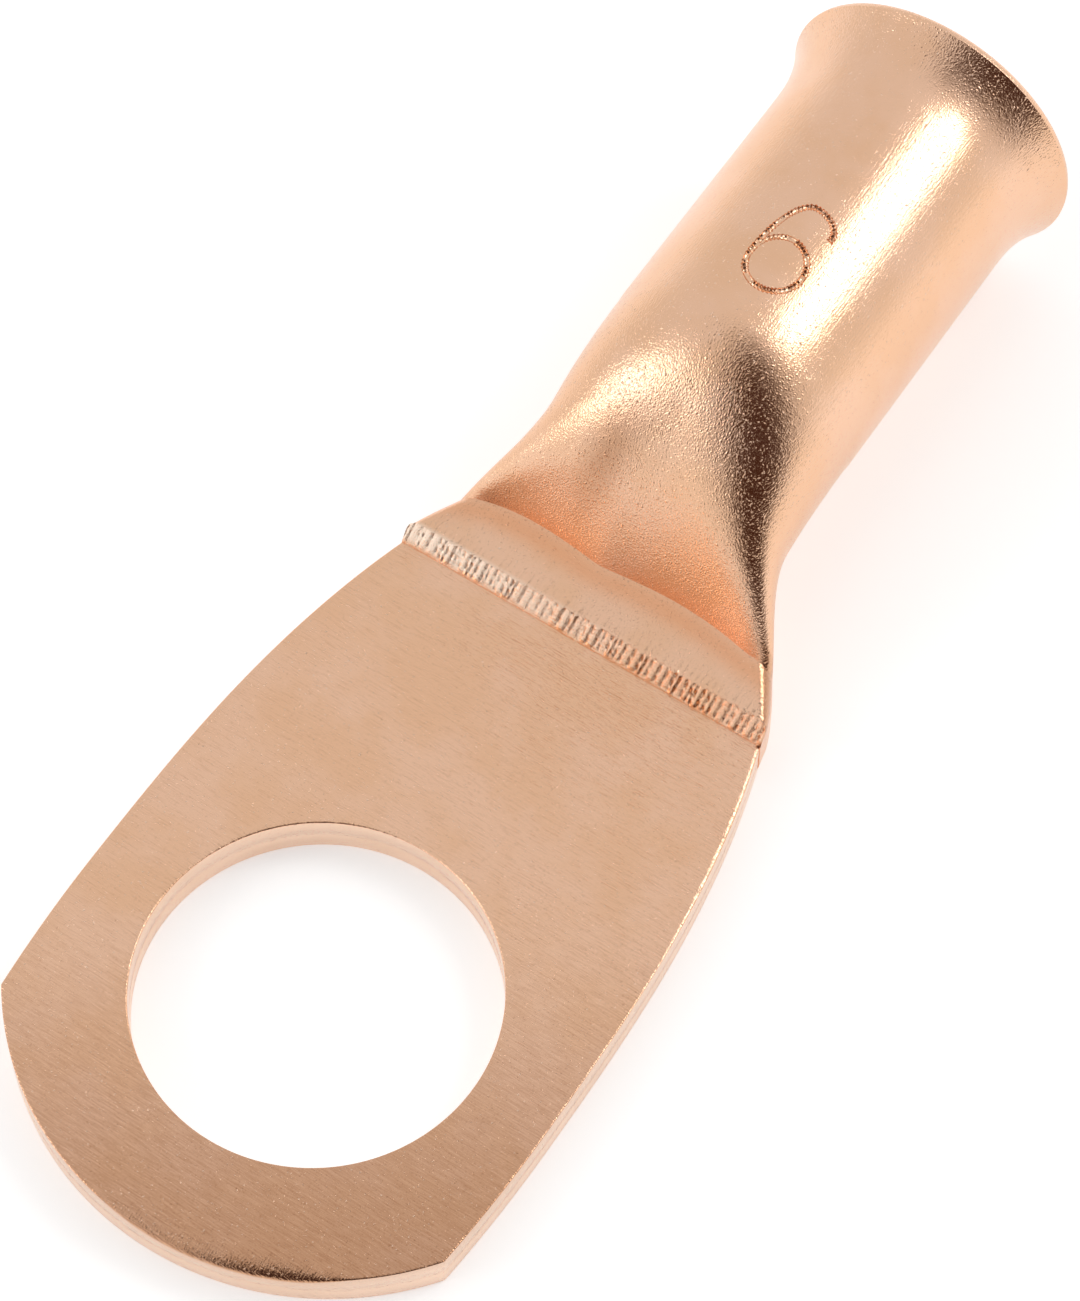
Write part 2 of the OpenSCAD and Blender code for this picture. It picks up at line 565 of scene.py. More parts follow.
    def step_wall(self) -> list[Ring]:
        """Rings up the front of the neck, which leans back over the palm and is ridged by the die.

        Returns:
            The rings, from the fold inside the palm to the step's top edge.
        """
        edge = self.outer_section(self.palm_len)
        rings = []
        for row in range(self.step_rows + 1):
            share = 1 - row / self.step_rows
            ring = []
            for point in edge:
                z = mix(self.fold_z, point.z, share)
                drag = self.ridges.height(point.y, z) * between(z - self.palm_t, self.ridge_start)
                lean = self.step_lean * clamp01((z - self.palm_t) / (self.step_t - self.palm_t))
                ring.append(Vector((self.palm_len + lean - drag, point.y, z)))
            rings.append(ring)
        fold_flat(rings[-1])
        return rings[::-1]

    # ---- the round end

    def circle(self, x: float, radius: float) -> Ring:
        """A ring round the barrel's axis, in step with the sections.

        Args:
            x: Distance from the stud hole.
            radius: Radius of the ring.

        Returns:
            The ring, left side first.
        """
        upper = self.round_count / 2 / (1 + self.under_weight)
        ring = []
        for index in range(self.round_count):
            step = min(index, self.round_count - index)
            turn = step / upper if step < upper else 1 + (step - upper) / (upper * self.under_weight)
            side = math.copysign(radius * math.sin(turn * math.pi / 2), self.round_count / 2 - index)
            ring.append(Vector((x, side, self.axis_z + radius * math.cos(turn * math.pi / 2))))
        return ring

    def bell(self, start_r: float, end_r: float, end_x: float, pitch: float) -> list[Ring]:
        """Rings along the bell, from the straight barrel to near the mouth.

        Args:
            start_r: Radius where the bell starts.
            end_r: Radius at its end.
            end_x: Distance of its end from the stud hole.
            pitch: Largest spacing of the rings.

        Returns:
            The rings, without the one at the end.
        """
        rings = []
        for x in places(self.bell_start, end_x, pitch):
            share = (x - self.bell_start) / (end_x - self.bell_start)
            rings.append(self.circle(x, mix(start_r, end_r, share ** self.bell_power)))
        return rings

    def lip(self) -> list[Ring]:
        """Rings round the rim of the mouth.

        Returns:
            The rings, outside first.
        """
        rings = []
        for turn in quarter_turns(self.lip_steps):
            rings.append(self.circle(self.mouth_x - self.lip_r * (1 - math.sin(turn)),
                                     self.bell_r - self.lip_r * (1 - math.cos(turn))))
        for turn in quarter_turns(SOFT_STEPS):
            rings.append(self.circle(self.mouth_x - self.lip_inner_r * (1 - math.cos(turn)),
                                     self.lip_bore_r + self.lip_inner_r * (1 - math.sin(turn))))
        return rings

    def bore(self) -> list[Ring]:
        """Rings down the inside, from the mouth to where the tube is pressed shut.

        Returns:
            The rings, the last one folded flat.
        """
        bell_end = self.mouth_x - self.bore_lip
        rings = self.bell(self.bore_r, self.lip_bore_r, bell_end, self.bore_pitch)[::-1]
        straight = places(self.bell_start - self.bore_gap, self.ramp_end + self.bore_round,
                          self.bore_long_pitch)
        rings += [self.circle(x, self.bore_r) for x in straight]
        inset = self.wall + self.seat
        shift = self.wall / 2
        last = self.ramp_end
        for x in places(self.ramp_end + self.slit_lead, self.land_end, self.bore_pitch):
            if self.roof_z(x) - self.floor_z(x) - 2 * inset < self.slit_h:
                break
            last = x
            rings.append(self.section(x, inset, x + shift))
        end = self.section(last, inset, last + shift - self.slit_close)
        fold_flat(end)
        return rings + [end]

    def build(self) -> bpy.types.Object:
        """Makes the whole tube, closed.

        Returns:
            The tube, in millimetres.
        """
        edge_end = self.land_start + self.edge_reach
        stations = places(self.land_start + self.edge_pitch, edge_end, self.edge_pitch)
        stations += places(edge_end, self.land_end, self.land_pitch)
        stations += places(self.land_end, self.ramp_end, self.ramp_pitch)
        straight = places(self.ramp_end + self.barrel_lead, self.bell_start, self.barrel_pitch)
        rings = self.step_wall()
        rings += [self.outer_section(x) for x in stations]
        rings += [self.circle(x, self.barrel_r) for x in straight]
        rings += self.bell(self.barrel_r, self.bell_r, self.mouth_x - self.lip_r, self.bell_pitch)
        rings += self.lip()
        rings += self.bore()
        return as_object(skin(rings), "tube")


# ---------------------------------------------------------------- the palm


@dataclass
class Palm:
    """Coined plate with a stud hole, sides drawn in to the neck and a sheared tip. Millimetres."""

    hole_r: float
    palm_t: float
    half_w: float
    tip_len: float
    neck_hw: float
    palm_len: float
    seat: float
    tip_r: float = 9.2
    tip_draw: float = 0.75
    side_power: float = 2.8
    joint_lap: float = 0.6
    tip_roll: float = 0.7
    tip_roll_along: Span = (-6.2, -7.4)
    tip_roll_across: Span = (2.0, -1.0)
    roll_drop: float = 0.4
    roll_steps: int = 8
    side_roll: float = 0.07
    neck_roll_gain: float = 1.6
    neck_roll_left: float = 0.25
    neck_roll_along: Span = (5.0, 10.0)
    rim_r: float = 0.05
    edge_r: float = 0.06
    seam_depth: float = 0.02
    hole_seam: float = 0.08
    side_seam: float = 0.1
    top_rim: float = 0.2
    top_edge: float = 0.25
    top_rows: int = 8
    under_rim: float = 0.3
    under_edge: float = 0.4
    side_count: int = 120
    tip_count: int = 120
    neck_count: int = 60
    corner_rounds: int = 40

    def __post_init__(self) -> None:
        """Works out the outline, its outward directions and the directions from the hole's axis."""
        self.points = self.outline()
        self.outwards = []
        for index in range(len(self.points)):
            along = self.points[(index + 1) % len(self.points)] - self.points[index - 1]
            self.outwards.append(Vector((along.y, -along.x, 0)).normalized())
        self.rays = []
        for point in self.points:
            turn = math.atan2(point.y, point.x)
            self.rays.append(Vector((math.cos(turn), math.sin(turn), 0)))

    def side_y(self, x: float) -> float:
        """Half width of the palm.

        Args:
            x: Distance from the stud hole.

        Returns:
            The half width at x.
        """
        if x < 0:
            return self.half_w - self.tip_draw * (x / self.tip_len) ** 2
        drawn_in = (x / self.palm_len) ** self.side_power
        return self.half_w - (self.half_w - self.neck_hw + self.seat) * drawn_in

    def corner(self) -> tuple[float, float]:
        """Where a side meets the sheared tip, found by closing in on it.

        Returns:
            The corner's x, and its angle round the tip's centre.
        """
        centre = self.tip_r - self.tip_len
        x = -self.tip_len / 2
        for _ in range(self.corner_rounds):
            x = centre - math.sqrt(max(self.tip_r ** 2 - self.side_y(x) ** 2, 0.0))
        return x, math.atan2(self.side_y(x), centre - x)

    def outline(self) -> Ring:
        """Points round the palm.

        Returns:
            The points, anticlockwise from above, from the neck's right end.
        """
        corner_x, corner_turn = self.corner()
        centre = self.tip_r - self.tip_len
        left = []
        for step in range(self.side_count):
            x = mix(self.palm_len, corner_x, step / self.side_count)
            left.append(Vector((x, self.side_y(x), 0)))
        tip = []
        for step in range(self.tip_count + 1):
            turn = mix(corner_turn, -corner_turn, step / self.tip_count)
            tip.append(Vector((centre - self.tip_r * math.cos(turn), self.tip_r * math.sin(turn), 0)))
        right = [Vector((point.x, -point.y, 0)) for point in left[:0:-1]]
        neck_y = self.neck_hw - self.seat
        end = []
        for step in range(self.neck_count):
            y = mix(-neck_y, neck_y, step / self.neck_count)
            lap = self.joint_lap * clamp01((neck_y - abs(y)) / self.joint_lap)
            end.append(Vector((self.palm_len + lap, y, 0)))
        return end + left + tip + right

    def rolls(self) -> list[float]:
        """How far the top edge is rolled over: most at the tip's right, more towards the neck.

        Returns:
            The roll's width at each point of the outline.
        """
        rolls = []
        for point in self.points:
            at_tip = between(point.x, self.tip_roll_along) * between(point.y, self.tip_roll_across)
            side = 1 if point.y < 0 else self.neck_roll_left
            at_neck = between(point.x, self.neck_roll_along) * side
            rolls.append(self.side_roll * (1 + self.neck_roll_gain * at_neck)
                         + (self.tip_roll - self.side_roll) * at_tip)
        return rolls

    def seam(self, reach: float) -> list[tuple[float, float]]:
        """Heights on a wall with the shear seam's depth at each, for how far it spreads up and down."""
        middle = self.palm_t / 2
        return [(middle - reach, 0.0), (middle, self.seam_depth), (middle + reach, 0.0)]

    def hole_ring(self, radius: float, z: float) -> Ring:
        """A ring round the hole's axis, at a radius and a height."""
        return [Vector((ray.x * radius, ray.y * radius, z)) for ray in self.rays]

    def edge_ring(self, insets: Sequence[float], z: float) -> Ring:
        """A ring inside the outline, by its distance from each of the outline's points, at a height."""
        return [Vector((point.x - way.x * inset, point.y - way.y * inset, z))
                for point, way, inset in zip(self.points, self.outwards, insets)]

    def even_ring(self, inset: float, z: float) -> Ring:
        """A ring at one distance inside the outline, at a height."""
        return self.edge_ring([inset] * len(self.points), z)

    def hole_wall(self) -> list[Ring]:
        """Rings up the hole, with softened rims.

        Returns:
            The rings, from the underside to the top.
        """
        rings = []
        for turn in quarter_turns(SOFT_STEPS):
            rings.append(self.hole_ring(self.hole_r + self.rim_r * (1 - math.sin(turn)),
                                        self.rim_r * (1 - math.cos(turn))))
        for z, depth in self.seam(self.hole_seam):
            rings.append(self.hole_ring(self.hole_r + depth, z))
        for turn in quarter_turns(SOFT_STEPS):
            rings.append(self.hole_ring(self.hole_r + self.rim_r * (1 - math.cos(turn)),
                                        self.palm_t - self.rim_r * (1 - math.sin(turn))))
        return rings

    def top(self) -> list[Ring]:
        """Rings over the palm's top, from the hole's rim to the end of the rolled edge.

        Returns:
            The rings, inside first.
        """
        rolls = self.rolls()
        inner = self.hole_ring(self.hole_r + self.top_rim, self.palm_t)
        outer = self.edge_ring([roll + self.top_edge for roll in rolls], self.palm_t)
        rings = []
        for row in range(self.top_rows + 1):
            rings.append([near.lerp(far, row / self.top_rows) for near, far in zip(inner, outer)])
        for turn in quarter_turns(self.roll_steps):
            ring = self.edge_ring([roll * (1 - math.sin(turn)) for roll in rolls], self.palm_t)
            for point, roll in zip(ring, rolls):
                point.z = self.palm_t - self.roll_drop * roll * (1 - math.cos(turn))
            rings.append(ring)
        return rings

    def side_wall(self) -> list[Ring]:
        """Rings down the palm's sides and tip, with a softened lower edge.

        Returns:
            The rings, from the top to the underside.
        """
        rings = [self.even_ring(depth, z) for z, depth in self.seam(self.side_seam)[::-1]]
        for turn in quarter_turns(SOFT_STEPS):
            rings.append(self.even_ring(self.edge_r * (1 - math.cos(turn)),
                                        self.edge_r * (1 - math.sin(turn))))
        return rings

    def build(self) -> bpy.types.Object:
        """Makes the palm, closed.

        Returns:
            The palm, in millimetres.
        """
        rings = self.hole_wall() + self.top() + self.side_wall()
        rings.append(self.even_ring(self.under_edge, 0.0))
        rings.append(self.hole_ring(self.hole_r + self.under_rim, 0.0))
        rings.append([point.copy() for point in rings[0]])
        return as_object(skin(rings), "palm")


# ---------------------------------------------------------------- the size numeral


@dataclass
class SizeNumeral:
    """A plain numeral pressed into the barrel's top, as the size of conductor. Millimetres."""

    barrel_r: float
    axis_z: float
    centre_x: float = 23.62
    centre_y: float = -0.14
    height: float = 3.15
    bowl_rx: float = 0.93
    bowl_ry: float = 0.86
    hook_rx: float = 0.62
    hook_ry: float = 0.855
    hook_turn: float = 1.1
    stroke_r: float = 0.105
    stroke_lift: float = 0.03
    chatter: float = 0.024
    chatter_pitch: float = 0.11
    wander: float = 0.15
    wander_rate: float = 2.5
    wander_row: float = 3.3
    meeting: float = 1e-6
    stem_steps: int = 109
    bowl_steps: int = 96
    sides: int = 12

    def __post_init__(self) -> None:
        """Places the bowl at the numeral's foot."""
        self.bowl_x = self.centre_x - self.height / 2 + self.bowl_rx

    def stem(self) -> list[tuple[float, float]]:
        """Path of the stem, hook first.

        Returns:
            Places along and round the barrel.
        """
        reach = self.height - self.bowl_rx
        path = []
        for step in range(self.stem_steps + 1):
            turn = mix(-self.hook_turn, 1.0, step / self.stem_steps) * math.pi / 2
            if turn < 0:
                drop = self.hook_rx * (1 - math.cos(turn))
                path.append((self.bowl_x + reach - drop, self.hook_ry * math.sin(turn)))
            else:
                path.append((self.bowl_x + reach * math.cos(turn), self.bowl_ry * math.sin(turn)))
        return path

    def bowl(self) -> list[tuple[float, float]]:
        """Closed path of the bowl.

        Returns:
            Places along and round the barrel.
        """
        path = []
        for step in range(self.bowl_steps + 1):
            turn = math.tau * step / self.bowl_steps
            path.append((self.bowl_x + self.bowl_rx * math.cos(turn), self.bowl_ry * math.sin(turn)))
        return path

    def on_barrel(self, x: float, arc: float) -> Vector:
        """Where the stroke's middle lies over a place on the barrel.

        Args:
            x: Distance from the stud hole.
            arc: Length round the barrel from the numeral's middle, to the left.

        Returns:
            The place.
        """
        turn = (arc + self.centre_y) / self.barrel_r
        radius = self.barrel_r + self.stroke_lift
        return Vector((x, radius * math.sin(turn), self.axis_z + radius * math.cos(turn)))

    def cutter(self, path: Sequence[tuple[float, float]], name: str) -> bpy.types.Object:
        """A round cutter drawn along a path on the barrel, with the tool's chatter.

        Args:
            path: Places along and round the barrel.
            name: Name of the cutter.

        Returns:
            The closed cutter.
        """
        centres = [self.on_barrel(x, arc) for x, arc in path]
        closed = (centres[0] - centres[-1]).length < self.meeting
        ends = (centres[-2], centres[1]) if closed else (centres[0], centres[-1])
        row = [ends[0], *centres, ends[1]]
        rings: list[Ring] = []
        gone = 0.0
        for index, centre in enumerate(centres):
            along = (row[index + 2] - row[index]).normalized()
            up = Vector((0, centre.y, centre.z - self.axis_z)).normalized()
            side = along.cross(up).normalized()
            if index:
                gone += (centre - centres[index - 1]).length
            radius = self.stroke_r + self.chatter * math.sin(math.tau * gone / self.chatter_pitch)
            wander = noise.noise(Vector((gone * self.wander_rate, self.wander_row, 0)))
            radius *= 1 + self.wander * wander
            turns = [math.tau * step / self.sides for step in range(self.sides)]
            rings.append([centre + radius * (side * math.cos(turn) + up * math.sin(turn))
                          for turn in turns])
        if closed:
            rings[-1] = [point.copy() for point in rings[0]]
        else:
            rings.insert(0, [centres[0].copy() for _ in range(self.sides)])
            rings.append([centres[-1].copy() for _ in range(self.sides)])
        return as_object(skin(rings), name)

    def press_into(self, lug: bpy.types.Object) -> None:
        """Cuts the numeral into the barrel."""
        combine(lug, self.cutter(self.stem(), "stem"), Joining.CUT)
        combine(lug, self.cutter(self.bowl(), "bowl"), Joining.CUT)


# ---------------------------------------------------------------- shader tools


class Wire:
    """A shader socket that can be used in Python expressions."""

    def __init__(self, tree: bpy.types.NodeTree, socket: bpy.types.NodeSocket) -> None:
        """Keeps the tree and the socket."""
        self.tree = tree
        self.socket = socket

    def math(self, operation: str, *values: "float | Wire") -> "Wire":
        """A Math node on this socket and other values."""
        sockets = dict(enumerate((self, *values)))
        return add_node(self.tree, "ShaderNodeMath", {"operation": operation}, sockets)

    def __add__(self, other: "float | Wire") -> "Wire":
        """Sum."""
        return self.math("ADD", other)

    def __radd__(self, other: float) -> "Wire":
        """Sum, reflected."""
        return self.math("ADD", other)

    def __sub__(self, other: "float | Wire") -> "Wire":
        """Difference."""
        return self.math("SUBTRACT", other)

    def __rsub__(self, other: float) -> "Wire":
        """Difference, reflected."""
        return add_node(self.tree, "ShaderNodeMath", {"operation": "SUBTRACT"}, {0: other, 1: self})

    def __mul__(self, other: "float | Wire") -> "Wire":
        """Product."""
        return self.math("MULTIPLY", other)

    def __rmul__(self, other: float) -> "Wire":
        """Product, reflected."""
        return self.math("MULTIPLY", other)

    def between(self, low: float, high: float) -> "Wire":
        """Smooth step from 0 at low to 1 at high."""
        values = {"Value": self, "From Min": low, "From Max": high}
        return add_node(self.tree, "ShaderNodeMapRange", {"interpolation_type": "SMOOTHSTEP"}, values)


def add_node(tree: bpy.types.NodeTree, kind: str, settings: dict | None = None,
             values: dict | None = None, output: int | str = 0) -> Wire:
    """Adds a node, sets it and wires its sockets.

    Args:
        tree: Node tree that takes the node.
        kind: The node's type.
        settings: Properties that are set first; "stops" gives a ramp's stops.
        values: Values or wires by the sockets' names or numbers.
        output: Name or number of the socket that is returned.

    Returns:
        The node's output as a wire.
    """
    node = tree.nodes.new(kind)
    for name, value in (settings or {}).items():
        if name == "stops":
            elements = node.color_ramp.elements
            for element, (place, colour) in zip(elements, value):
                element.position, element.color = place, colour
            for place, colour in value[2:]:
                elements.new(place).color = colour
        else:
            setattr(node, name, value)
    for name, value in (values or {}).items():
        if isinstance(value, Wire):
            tree.links.new(value.socket, node.inputs[name])
        else:
            node.inputs[name].default_value = value
    return Wire(tree, node.outputs[output])


def mix_colours(share: Wire, under: Wire | Colour, over: Wire | Colour) -> Wire:
    """A colour at a share of the way from one colour to another, through the node's colour sockets."""
    sockets = {0: share, 6: under, 7: over}
    return add_node(share.tree, "ShaderNodeMix", {"data_type": "RGBA"}, sockets, output=2)


def empty_tree(owner: bpy.types.Material | bpy.types.World) -> bpy.types.NodeTree:
    """Gives a material or a world an empty node tree.

    Args:
        owner: The material or world.

    Returns:
        Its tree.
    """
    owner.use_nodes = True
    owner.node_tree.nodes.clear()
    return owner.node_tree


def finish_tree(surface: Wire, kind: str) -> None:
    """Wires a surface to an output node of a kind."""
    exit_node = surface.tree.nodes.new(kind)
    surface.tree.links.new(surface.socket, exit_node.inputs["Surface"])


# ---------------------------------------------------------------- finishes


@dataclass(frozen=True)
class CopperFinish:
    """Bare, acid-cleaned copper: fine grain where drawn, cross-brushed where pressed; its colour also
    holds painted shade, painted sheen and glints, and a painted bounce tint.
    """

    clean: Colour = (0.87, 0.53, 0.335, 1)
    pale: Colour = (0.90, 0.57, 0.39, 1)
    # Orange tint for painted bounce light, copper reflected in copper at the crease.
    crease_bounce_tint: Colour = (0.86, 0.42, 0.22, 1)
    # Darker tone for the random brushing and grain mottle, and for painted shade.
    shade_and_mottle: Colour = (0.50, 0.25, 0.135, 1)
    # Pale tone for painted sheen and painted glints.
    painted_sheen_tone: Colour = (0.97, 0.80, 0.66, 1)
    roughness: float = 0.22
    rough_swing: float = 0.1
    cloud_per_mm: float = 0.45
    cloud_detail: float = 4.0
    cloud_edges: Span = (0.35, 0.65)
    grain_per_mm: float = 14.0
    grain_detail: float = 2.0
    grain_height: float = 15e-6
    grain_mottle: float = 0.3
    speck_per_mm: float = 13.0
    speck_detail: float = 3.0
    speck_edges: Span = (0.63, 0.73)
    speck_share: float = 0.5
    # Share of the pale tone that paints glints on the specks; the specks also raise the bump.
    speck_glint: float = 0.35
    brush_scale: tuple[float, float, float] = (26.0, 1.6, 8.0)
    brush_share: float = 1.1
    brush_mottle: float = 0.8
    hair_scale: tuple[float, float, float] = (2.2, 18.0, 18.0)
    hair_share: float = 0.8

    def strokes(self, spot: Wire, scale: tuple[float, float, float]) -> Wire:
        """A noise drawn out into fine strokes.

        Args:
            spot: Place on the piece, in millimetres.
            scale: Strokes to the millimetre along each axis.

        Returns:
            The strokes' height.
        """
        drawn = add_node(spot.tree, "ShaderNodeMapping", {}, {"Vector": spot, "Scale": scale})
        values = {"Vector": drawn, "Scale": 1.0, "Detail": self.grain_detail}
        return add_node(spot.tree, "ShaderNodeTexNoise", {}, values)

    def material(self) -> bpy.types.Material:
        """Makes the copper material.

        Returns:
            The material, reading Object coordinates and the piece's own attributes.
        """
        made = bpy.data.materials.new("bare_copper")
        tree = empty_tree(made)
        raw = add_node(tree, "ShaderNodeTexCoord", output="Object")
        spot = add_node(tree, "ShaderNodeVectorMath", {"operation": "SCALE"}, {0: raw, "Scale": 1 / MM})
        pressed, worked, creased, tarnished, burnished = (
            add_node(tree, "ShaderNodeAttribute", {"attribute_name": name}, output="Fac")
            for name in ("pressed", "worked", "creased", "tarnished", "burnished"))
        clouds = add_node(tree, "ShaderNodeTexNoise", {}, {
            "Vector": spot, "Scale": self.cloud_per_mm, "Detail": self.cloud_detail})
        grain = add_node(tree, "ShaderNodeTexNoise", {"noise_type": "RIDGED_MULTIFRACTAL"}, {
            "Vector": spot, "Scale": self.grain_per_mm, "Detail": self.grain_detail})
        specks = add_node(tree, "ShaderNodeTexNoise", {}, {
            "Vector": spot, "Scale": self.speck_per_mm, "Detail": self.speck_detail})
        specks = specks.between(*self.speck_edges)
        brushing = self.strokes(spot, self.brush_scale)
        hairs = self.strokes(spot, self.hair_scale)
        height = (grain + hairs * self.hair_share) * worked
        height = height + brushing * pressed * self.brush_share + specks * self.speck_share
        bump = add_node(tree, "ShaderNodeBump", {}, {
            "Height": height, "Strength": 1.0, "Distance": self.grain_height})
        tone = mix_colours(clouds.between(*self.cloud_edges), self.clean, self.pale)
        # Painted bounce light: the orange of copper reflected in copper in front of the crease.
        tone = mix_colours(creased, tone, self.crease_bounce_tint)
        mottle = (brushing - NOISE_MEAN) * pressed * self.brush_mottle
        mottle = mottle + (grain - NOISE_MEAN) * self.grain_mottle
        # Darker: random brushing and grain mottle, and painted shade towards the palm's tip, down the
        # land's right edge and in the ramp's hollow.
        tone = mix_colours(tarnished + mottle, tone, self.shade_and_mottle)
        # Painted sheen on the step's left and the palm's sheared sides, and painted glints at the
        # specks.
        tone = mix_colours(burnished + specks * self.speck_glint, tone, self.painted_sheen_tone)
        rough = self.roughness + (clouds - NOISE_MEAN) * self.rough_swing
        surface = add_node(tree, "ShaderNodeBsdfPrincipled", {}, {
            "Base Color": tone, "Metallic": 1.0, "Roughness": rough, "Normal": bump})
        finish_tree(surface, "ShaderNodeOutputMaterial")
        return made


@dataclass(frozen=True)
class LugMarksAndPaintedLight:
    """Marks that the making and the handling left, and painted shade, sheen and bounce light, as shares
    at a place on the lug. Millimetres.
    """

    tube: PressedTube
    # Painted shade over the palm's top, darker towards the tip.
    palm_shade: float = 0.12
    tip_shade: float = 0.75
    tip_shade_slant: float = 0.6
    tip_shade_along: Span = (5.0, -11.0)
    palm_gap: float = 0.05
    palm_depth: float = 0.4
    # Painted shade line down the land's right edge.
    edge_gap: float = 0.3
    edge_facing: float = -0.6
    edge_spread: float = 0.35
    edge_rise: Span = (0.0, 0.3)
    # Painted shade in the ramp's hollow.
    hollow_shade: float = 0.75
    hollow_spot: tuple[float, float] = (16.8, 1.45)
    hollow_way: tuple[float, float] = (0.95, -0.3)
    hollow_size: tuple[float, float] = (1.15, 0.7)
    hollow_rise: Span = (2.5, 3.0)
    shear_sheen: float = 0.5
    # Painted sheen on the palm's sheared sides.
    shear_gap: float = 0.1
    shear_slope: Span = (0.35, 0.05)
    # Painted sheen on the step's left.
    step_sheen: float = 0.85
    step_back: Span = (0.15, -0.1)
    step_rise: Span = (0.0, 0.2)
    step_right_to_left: Span = (-4.0, 5.0)
    # Painted bounce light in front of the crease.
    crease_back: float = 0.42
    crease_reach: float = 0.42
    crease_rise: Span = (0.6, 1.0)
    crease_start: Span = (0.1, 0.4)
    palm_press_end: Span = (0.05, -0.05)
    land_press: float = 0.6
    land_press_end: Span = (0.3, -0.3)
    drawn_grain: float = 0.5
    neck_grain_start: Span = (-0.3, 0.5)
    neck_grain_end: Span = (1.5, -1.5)
    bell_grain_start: Span = (0.8, 2.3)

    def past_foot(self, spot: Vector) -> float:
        """How far a place lies past the bowed foot of the ramp."""
        return spot.x + self.tube.bow(self.tube.land_end, spot.y) - self.tube.land_end

    def tarnish(self, spot: Vector, normal: Vector) -> float:
        """How much painted shade darkens the copper: a little over the palm's top and more towards the
        tip, a line down the land's right edge, the ramp's hollow.

        Args:
            spot: Place on the surface.
            normal: The surface's normal there.

        Returns:
            The share of the painted shade's tone.
        """
        tube = self.tube
        if spot.x < tube.palm_len - self.palm_gap and spot.z > tube.palm_t - self.palm_depth:
            slanted = spot.x + self.tip_shade_slant * spot.y
            return self.palm_shade + self.tip_shade * between(slanted, self.tip_shade_along)
        if spot.x < tube.land_end + self.edge_gap:
            facing = hump(normal.y - self.edge_facing, self.edge_spread)
            return facing * between(spot.z - tube.palm_t, self.edge_rise)
        way = Vector(self.hollow_way)
        away = spot.xy - Vector(self.hollow_spot)
        along = hump(away.dot(way), self.hollow_size[0])
        across = hump(away.dot(Vector((-way.y, way.x))), self.hollow_size[1])
        return self.hollow_shade * along * across * between(spot.z, self.hollow_rise)

    def burnish(self, spot: Vector, normal: Vector) -> float:
        """How much painted sheen lightens the metal: on the step's left, and on the palm's sheared
        sides.

        Args:
            spot: Place on the surface.
            normal: The surface's normal there.

        Returns:
            The share of the bright tone.
        """
        if spot.x < self.tube.palm_len - self.shear_gap:
            return self.shear_sheen * between(abs(normal.z), self.shear_slope)
        on_wall = between(spot.x - self.tube.land_start, self.step_back)
        on_wall *= between(spot.z - self.tube.palm_t, self.step_rise)
        return self.step_sheen * on_wall * between(spot.y, self.step_right_to_left)

    def crease(self, spot: Vector) -> float:
        """How much painted bounce light warms the copper in front of the crease between the land and
        the ramp.

        Args:
            spot: Place on the surface.

        Returns:
            The share of the painted bounce tint.
        """
        on_top = between(spot.z - self.tube.palm_t, self.crease_rise)
        on_top *= between(spot.x - self.tube.land_start, self.crease_start)
        return on_top * hump(self.past_foot(spot) + self.crease_back, self.crease_reach)

    def press(self, spot: Vector) -> float:
        """How far the dies flattened the drawn tube's grain and brushed it across.

        Args:
            spot: Place on the surface.

        Returns:
            The share of the brushing.
        """
        on_palm = between(spot.x - self.tube.palm_len, self.palm_press_end)
        on_land = self.land_press * between(spot.x - self.tube.land_end, self.land_press_end)
        return max(on_palm, on_land)

    def work(self, spot: Vector) -> float:
        """How far stretching the tube roughened its grain: most in the neck and in the bell.

        Args:
            spot: Place on the surface.

        Returns:
            The share of the grain.
        """
        neck = between(self.past_foot(spot), self.neck_grain_start)
        neck *= between(spot.x - self.tube.ramp_end, self.neck_grain_end)
        bell = between(spot.x - self.tube.bell_start, self.bell_grain_start)
        return mix(self.drawn_grain, 1.0, max(neck, bell))

    def write(self, mesh: bpy.types.Mesh) -> None:
        """Writes the marks and the painted light that the finish reads, at each point of the surface.

        Args:
            mesh: Mesh in millimetres that takes the attributes.
        """
        marks_and_light = {
            "pressed": [self.press(vert.co) for vert in mesh.vertices],
            "worked": [self.work(vert.co) for vert in mesh.vertices],
            "creased": [self.crease(vert.co) for vert in mesh.vertices],
            "tarnished": [self.tarnish(vert.co, vert.normal) for vert in mesh.vertices],
            "burnished": [self.burnish(vert.co, vert.normal) for vert in mesh.vertices],
        }
        for name, values in marks_and_light.items():
            mesh.attributes.new(name, "FLOAT", "POINT").data.foreach_set("value", values)


# ---------------------------------------------------------------- the lug


